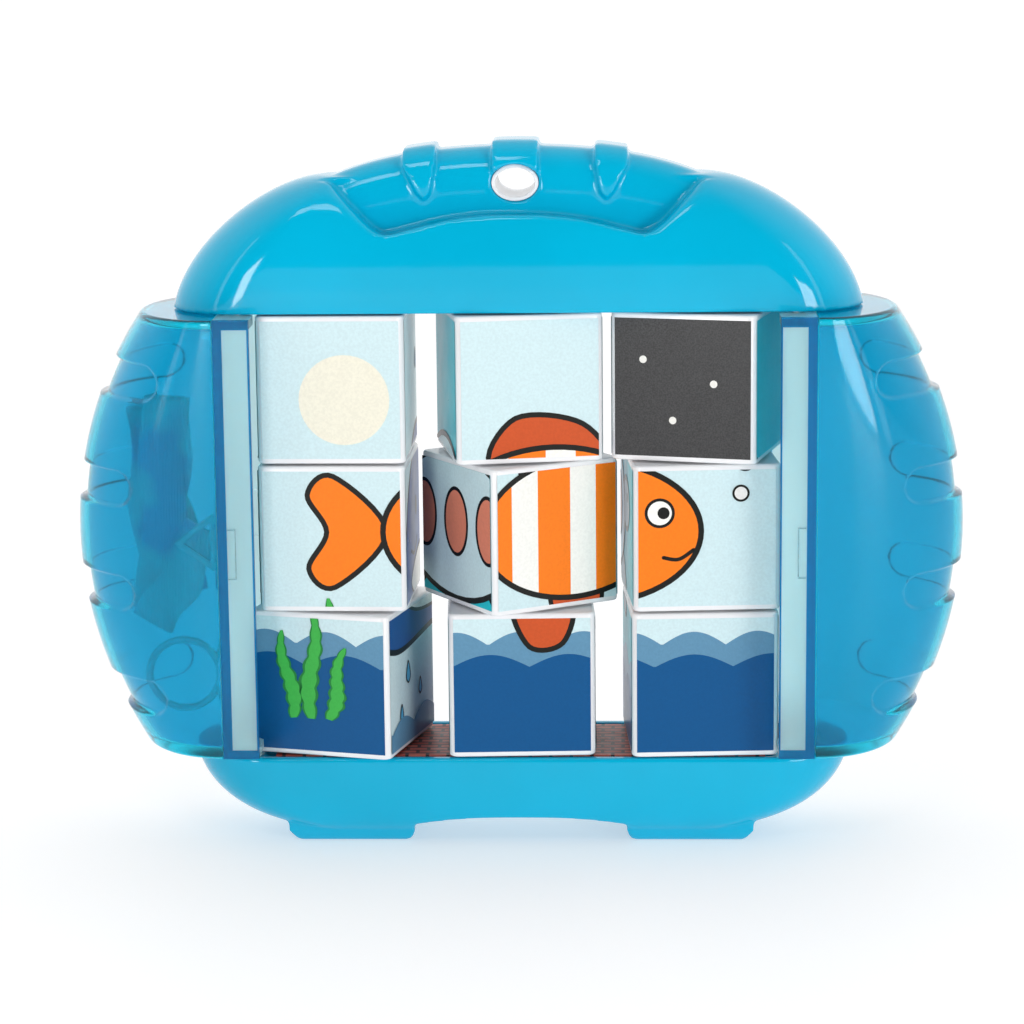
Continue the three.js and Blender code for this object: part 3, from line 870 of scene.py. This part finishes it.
def night_picture():
    """The back: a seal on the ice under a moon and stars."""
    art = Picture("night")
    art.disc("cream", (-36, 36), (8, 8))
    for x, y in ((-14, 42), (4, 34), (26, 44), (34, 28), (45, 38), (-46, 12), (42, 8), (-28, 18)):
        art.disc("seal", (x, y), (1, 1))
    art.waves("ice", -33, 3, 30)
    art.blob("seal", [(-28, -40), (-25, -12), (-14, 12), (0, 18), (14, 12), (25, -12), (28, -40)], 1.5)
    for side in (-1, 1):
        art.disc("black", (6.5 * side, 4), (1.9, 1.9))
        art.disc("seal_shade", (24 * side, -30), (10, 4.5), 30 * side, 1.2)
    art.disc("black", (0, -2), (2.6, 1.8))
    art.line("black", [(-5, -6), (0, -8), (5, -6)], 0.9)
    return art


def turtle_picture():
    """The left sides: a sea turtle over the sea bed."""
    art = Picture("turquoise")
    art.waves("wave", -34, 3.5, 22)
    art.waves("deep_sea", -41, 4, 22, 8)
    for side in (-1, 1):
        art.disc("slate", (24 * side, -14), (13, 5), -35 * side, 1.2)
    art.disc("slate", (36, 6), (9, 7), 0, 1.5)
    art.disc("black", (39, 8), (1.4, 1.4))
    art.disc("pale_blue", (0, 2), (31, 20), 0, 1.6)
    for x in (-17, 0, 17):
        art.disc("salmon", (x, 3), (6, 9), 0, 1)
    return art


def whale_picture():
    """The right sides: a whale blowing drops."""
    art = Picture("sky_blue_ink")
    body = [(-60, -20), (-50, 8), (-26, 22), (6, 20), (30, 8), (46, 14), (50, 2), (36, -10), (8, -22)]
    art.blob("whale", [*body, (-26, -27), (-50, -28)], 1.6)
    art.blob("seal", [(-42, -14), (-20, -8), (6, -10), (14, -17), (-10, -21), (-32, -20)], 1)
    art.disc("black", (-28, 4), (2.2, 2.8))
    art.line("black", [(-42, -6), (-34, -8), (-26, -5)], 1)
    drops = [(-14, 34, 3), (-6, 40, 2.4), (-22, 40, 2.4), (-40, -36, 2.6), (-30, -42, 2), (-46, -46, 2)]
    for x, y, size in drops:
        art.drop("drop", (x, y), size, 0.6)
    art.waves("wave", -50, 3, 18)
    return art


INK_CODES = {
    "sky": "CDE4E8", "cream": "ECE8D6", "bubble": "ECE9E6",
    "wave": "5F8FAE", "deep_sea": "02528A", "orange": "FB7D16",
    "dark_orange": "C95326", "belly": "F4F2EC", "black": "161714",
    "weed": "3FB04A", "weed_dark": "23803A", "night": "3A3A3B",
    "ice": "9FB6C4", "seal": "E9E8E2", "seal_shade": "C7C9C6",
    "drop": "58A9CF", "turquoise": "1FB9C8", "slate": "8FA6B2",
    "pale_blue": "C6DDE2", "salmon": "D98268", "sky_blue_ink": "D0E4E6",
    "whale": "23508F",
}


def ink_material(name, code):
    """Printed ink with fine speckle in the colour. The night's ground is grainier."""
    material, tree, shader = new_material("ink_" + name)
    spread, scale = (0.3, 2600) if name == "night" else (0.035, 1400)
    set_inputs(shader, {
        "Base Color": shades(tree, place_noise(tree, scale, 2), code, spread),
        "Roughness": between(tree, place_noise(tree, 200), 0.25, 0.35),
        "Specular IOR Level": 0.2,
    })
    return material


def printed_sides(name, row, column, sides, inks, centre, degrees):
    """One cube's four printed sides. sides lists the pictures on its front, right, back and left."""
    names = list(inks)
    vertices, faces, indices = [], [], []
    middle = np.array([(column - 1) * CELL, (1 - row) * CELL])
    low, high = middle - CELL / 2, middle + CELL / 2
    for k, picture in enumerate(sides):
        turn = math.radians(degrees + 90 * k)
        right = np.array([math.cos(turn), math.sin(turn), 0])
        out = np.array([math.sin(turn), -math.cos(turn), 0])
        step = PRINT_THICK / (len(picture.inks) + 1)
        for layer, (ink, polygons) in enumerate(picture.inks):
            lift = CUBE / 2 - PRINT_THICK + step * (layer + 1)
            for polygon in polygons:
                left = clipped(polygon, low, high)
                if left is None:
                    continue
                flat = left - middle
                ahead = np.roll(flat, -1, 0)
                area = 0.5 * np.sum(flat[:, 0] * ahead[:, 1] - flat[:, 1] * ahead[:, 0])
                if abs(area) < SMALLEST_AREA:
                    continue
                if area < 0:
                    flat = flat[::-1]
                start = len(vertices)
                for u, v in flat:
                    vertices.append(centre + out * lift + right * u + np.array([0, 0, v]))
                faces.append(tuple(range(start, start + len(flat))))
                indices.append(names.index(ink))
    return make_object(name, vertices, faces, list(inks.values()), indices)


def cubes(white):
    block = cube_body()
    inks = {name: ink_material(name, code) for name, code in INK_CODES.items()}
    pictures = [fish_picture(), whale_picture(), night_picture(), turtle_picture()]
    for row in range(3):
        for column in range(3):
            cell = f"r{row + 1}c{column + 1}"
            centre = np.array([(column - 1) * COLUMN_PITCH, 0, MIDDLE_Z + (1 - row) * ROW_PITCH])
            degrees = CUBE_TURNS[row][column]
            turn = Matrix.Rotation(math.radians(degrees), 4, "Z")
            body = place(f"block_{cell}", block.data.copy())
            body.data.transform(Matrix.Translation(centre * MM) @ turn)
            dress(body, white, f"cube_{cell}", f"cube_{cell}")
            sides = pictures[2:] + pictures[:2] if (row, column) == HALF_TURNED else pictures
            prints = printed_sides(f"pictures_{cell}", row, column, sides, inks, centre, degrees)
            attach(prints, f"cube_{cell}")
    bpy.data.objects.remove(block)


# ---- floor card


def brick_material():
    """A printed card of small red bricks with dark joints."""
    material, tree, shader = new_material("floor_card_print")
    bricks = add_node(tree, "TexBrick", {
        "Vector": object_place(tree),
        "Color1": (*srgb("AC3524"), 1),
        "Color2": (*srgb("CE6A58"), 1),
        "Mortar": (*srgb("3A0F0D"), 1),
        "Mortar Size": 0.045,
        "Scale": 90,
    })
    rough = between(tree, place_noise(tree, 120), 0.35, 0.55)
    set_inputs(shader, {"Base Color": bricks.outputs["Color"], "Roughness": rough})
    return material


# ---- what the left bin holds

STRAP_WIDTH = 12
STRAP_THICK = 1.1
STRAP_LAYERS = (-4.6, -1.6, 1.4, 4.4, 7.2)  # depth of each run of the folded strap
STRAP_ENDS = [(-84.8, 0), (-99.5, -25), (-95, 34), (-98, -22), (-101, 31), (-92, -20)]  # X and height


def strap_line():
    """The folded strap's centre line and the direction across its width, run by run."""
    points, across = [], []
    ends = np.array(STRAP_ENDS, float) + [0, MIDDLE_Z]
    for k, depth in enumerate(STRAP_LAYERS):
        start, end = ends[k], ends[k + 1]
        along = (end - start) / np.linalg.norm(end - start)
        side = np.array([-along[1], along[0]]) * (1 if k % 2 else -1)
        for t in np.linspace(0, 1, 26):
            ripple = 0.5 * math.sin(7 * t + 2 * k) * math.sin(math.pi * t)
            drift = 1.6 * math.sin(2.6 * math.pi * t + 1.3 * k) * math.sin(math.pi * t)
            flat = start + (end - start) * t + side * drift
            points.append((flat[0], depth + ripple, flat[1]))
            across.append((side[0], 0.25 * math.sin(5 * t + k), side[1]))
        if k + 1 < len(STRAP_LAYERS):
            radius = (STRAP_LAYERS[k + 1] - depth) / 2
            for turn in np.linspace(0, math.pi, 9)[1:-1]:
                flat = end + along * radius * math.sin(turn)
                points.append((flat[0], depth + radius * (1 - math.cos(turn)), flat[1]))
                across.append((side[0], 0, side[1]))
    points, across = np.array(points), np.array(across)
    for _ in range(3):
        points[1:-1] = (points[:-2] + 2 * points[1:-1] + points[2:]) / 4
        across[1:-1] = (across[:-2] + 2 * across[1:-1] + across[2:]) / 4
    return points, across / np.linalg.norm(across, axis=1)[:, None]


def wrist_strap(fittings):
    """Flat webbing with thinner edges along the folded line."""
    points, across = strap_line()
    along = np.gradient(points, axis=0)
    along /= np.linalg.norm(along, axis=1)[:, None]
    up = np.cross(along, across)
    up /= np.linalg.norm(up, axis=1)[:, None]
    steps = np.linspace(-1, 1, 9)
    half = STRAP_THICK / 2
    rings = []
    for point, wide, thick in zip(points, across, up):
        ring = []
        for face in (1, -1):
            for u in steps[::face]:
                ring.append(point + wide * STRAP_WIDTH / 2 * u + thick * half * face * (1 - 0.5 * u**8))
        rings.append(np.array(ring))
    strap = loft("wrist_strap_webbing", rings)
    shade_smooth(strap)
    strap.data.set_sharp_from_angle(angle=math.radians(50))
    dress(strap, webbing_material(), "left_bin", "wrist_strap")


def webbing_material():
    """Pale woven webbing with faint violet patches."""
    material, tree, shader = new_material("strap_webbing")
    weave = add_node(tree, "TexWave", {"Scale": 420, "Distortion": 1.5, "Vector": object_place(tree)})
    patches = place_noise(tree, 45, 2)
    set_inputs(shader, {
        "Base Color": two_tone(tree, patches, (0.97, 0.98, 1.0), (0.86, 0.62, 0.93), (0.46, 0.6)),
        "Normal": bump(tree, weave.outputs["Fac"], 0.4, 0.0003),
        "Roughness": 0.85,
        "Sheen Weight": 0.3,
        "Subsurface Weight": 0.6,
        "Subsurface Radius": (1, 1, 1),
        "Subsurface Scale": 0.005,
    })
    return material


def strap_triangle(material):
    piece = refined("strap_triangle", "strap_triangle_ring", 0.5)
    shade_smooth(piece)
    return dress(piece, material, "left_bin", "strap_triangle")


def strap_ring(material):
    """A round wire ring."""
    low, high = edges("strap_ring")
    middle = (low + high) / 2
    wire = (high[1] - low[1]) / 2
    radius = (high[0] - low[0]) / 2 - wire
    sides = np.linspace(0, 2 * np.pi, 13)[:-1]
    rings = []
    for turn in np.linspace(0, 2 * np.pi, 97)[:-1]:
        out = np.array([math.cos(turn), 0, math.sin(turn)])
        round_wire = [out * (radius + wire * math.cos(a)) + [0, wire * math.sin(a), 0] for a in sides]
        rings.append(middle + np.array(round_wire))
    count = len(sides)
    faces = []
    for i in range(len(rings)):
        here, ahead = i * count, (i + 1) % len(rings) * count
        for j in range(count):
            k = (j + 1) % count
            faces.append((here + j, here + k, ahead + k, ahead + j))
    piece = make_object("strap_ring_wire", np.concatenate(rings), faces)
    outward(piece)
    shade_smooth(piece)
    return dress(piece, material, "left_bin", "strap_ring")


# ---- floor, light and camera

FLOOR_CORNERS = [(-9000, -9000, 0), (9000, -9000, 0), (9000, 20000, 0), (-9000, 20000, 0)]

SOFTBOXES = {  # place and size in metres, and power in watts
    "left_softbox": ((-0.45, -1.15, 0.16), (0.24, 0.28), 2.9),
    "right_softbox": ((0.7, -0.86, 0.16), (0.36, 0.28), 3.6),
    "left_tall_softbox": ((-0.95, -0.75, 0.45), (0.12, 0.9), 0.7),
    "right_tall_softbox": ((1.0, -0.7, 0.45), (0.12, 0.9), 0.7),
    "top_softbox": ((-0.2, -0.75, 0.85), (0.36, 0.16), 1.1),
}
SOFTBOX_TARGET = (0, 0, 0.13)

CAMERA_TURNS = (-2.13, 11.18, 0.6)  # yaw, pitch and roll in degrees
CAMERA_PLACE = (0.0292, -0.8404, MIDDLE_Z * MM + 0.1696)  # in metres
CAMERA_LENS = 111.3


def stage_floor():
    """A white floor that glows a little, so that it blends into the background."""
    material, tree, shader = new_material("pale_floor")
    set_inputs(shader, {
        "Base Color": two_tone(tree, place_noise(tree, 3), (0.6, 0.6, 0.605), (0.63, 0.63, 0.635)),
        "Roughness": 0.6,
        "Emission Color": (1, 1, 1, 1),
        "Emission Strength": 0.45,
    })
    make_object("floor", FLOOR_CORNERS, [(0, 1, 2, 3)], [material])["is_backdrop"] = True


def softbox(name, where, size, power):
    lamp = bpy.data.lights.new(name, "AREA")
    lamp.shape = "RECTANGLE"
    lamp.size, lamp.size_y = size
    lamp.energy = power
    holder = place(name, lamp)
    holder.location = where
    holder.rotation_euler = (Vector(SOFTBOX_TARGET) - Vector(where)).to_track_quat("-Z", "Y").to_euler()


def studio_world():
    """Even light, dimmer in front so that glossy faces keep their colour. It is seen as plain white."""
    world = bpy.data.worlds.new("studio")
    world.use_nodes = True
    tree = world.node_tree
    direction = add_node(tree, "TexCoord").outputs["Generated"]
    forwards = add_node(tree, "SeparateXYZ", {"Vector": direction}).outputs["Y"]
    ends = {"From Min": -0.9, "From Max": 0.3, "To Min": 0.05, "To Max": 1.15}
    fade = add_node(tree, "MapRange", {"Value": forwards, **ends})
    fade.interpolation_type = "SMOOTHSTEP"
    seen = add_node(tree, "LightPath").outputs["Is Camera Ray"]
    strength = calculate(tree, "MAXIMUM", fade.outputs["Result"], seen)
    set_inputs(tree.nodes["Background"], {"Color": (1, 1, 1, 1), "Strength": strength})
    bpy.context.scene.world = world


def camera():
    """The view of the reference: a little above, from in front, with a long lens."""
    yaw, pitch, roll = (math.radians(turn) for turn in CAMERA_TURNS)
    turn = Matrix.Rotation(-yaw, 4, "Z") @ Matrix.Rotation(math.pi / 2 - pitch, 4, "X")
    turn = turn @ Matrix.Rotation(-roll, 4, "Z")
    lens = bpy.data.cameras.new("camera")
    lens.sensor_width = 36
    lens.lens = CAMERA_LENS
    lens.clip_end = 60
    holder = place("camera", lens)
    holder.matrix_world = Matrix.Translation(CAMERA_PLACE) @ turn
    bpy.context.scene.camera = holder


# ---- the whole scene

bpy.context.scene.view_settings.view_transform = "Standard"
camera()
studio_world()
for name, (where, size, power) in SOFTBOXES.items():
    softbox(name, where, size, power)
stage_floor()

sky_blue = moulded("sky_blue_plastic", "00ADD3")
white = moulded("white_plastic", "EDEDEF", 0.015, (0.18, 0.28), 0.5)
deep_blue = deep_blue_clear()
pale = pale_clear()
steel = steel_material()

top_shell(sky_blue)
lanyard_eyelet(white)
bottom_shell(sky_blue)
right_bin = side_bin()
left_bin = mirrored(right_bin, "side_bin_left_skin")
dress(right_bin, deep_blue, "right_bin", "side_bin_right")
dress(left_bin, deep_blue, "left_bin", "side_bin_left")
for side in ("left", "right"):
    tray = refined(f"side_frame_{side}", f"side_frame_{side}_skin", 0.35)
    dress(tray, pale, "case", f"side_frame_{side}")
cubes(white)
wrist_strap([strap_triangle(white), strap_ring(white)])

others = {"floor_card": brick_material(), "floor_plate": sky_blue, "ceiling_plate": sky_blue}
for name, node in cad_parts.items():
    if node.hide_render:
        continue
    metal = name.startswith("axle_") or "_screw_" in name
    material = steel if metal else others.get(name, white)
    node.data.materials.clear()
    node.data.materials.append(material)

size = {"cad": CAD_BOX, "visual": [list(corner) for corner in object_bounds()]}
